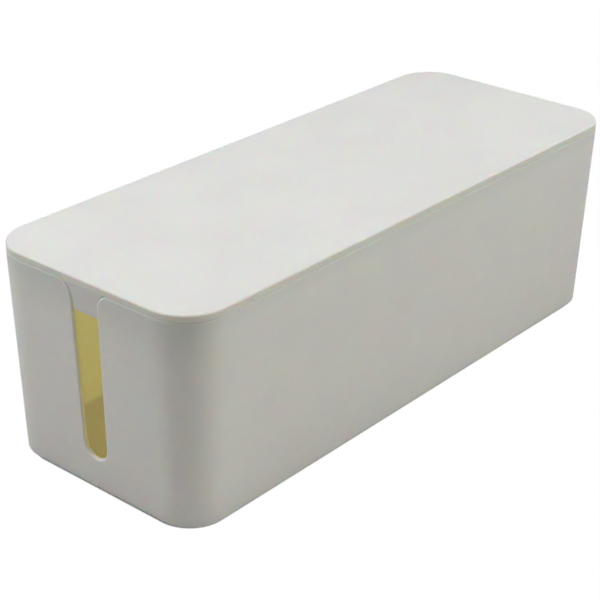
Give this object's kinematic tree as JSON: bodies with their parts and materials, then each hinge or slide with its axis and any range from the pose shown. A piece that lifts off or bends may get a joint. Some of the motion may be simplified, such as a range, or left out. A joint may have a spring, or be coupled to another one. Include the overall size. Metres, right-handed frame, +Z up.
{
  "type": "cable management box",
  "caption": "Closed box that hides a power strip and cable slack on or under a desk: deep drafted tray with a cable slot in each end and a lift-off lid.",
  "frame": {"origin": "on the surface the box stands on, under the middle of the box", "axes": "+Z up, +X along the box's length, +Y across it"},
  "size_m": [0.4, 0.154, 0.1325],
  "materials": {
    "tray_plastic": "fine moulded grain",
    "lid_plastic": "fine moulded grain",
    "foot_rubber": "matte"
  },
  "bodies": {
    "tray": {"tray": "tray_plastic", "foot_left_front": "foot_rubber", "foot_left_rear": "foot_rubber", "foot_right_front": "foot_rubber", "foot_right_rear": "foot_rubber"},
    "lid": {"lid": "lid_plastic"}
  },
  "joints": [
    {"name": "lid_lift", "type": "slide", "parent": "tray", "child": "lid", "axis": [0, 0, 1], "range_m": [0, 0.1]}
  ]
}
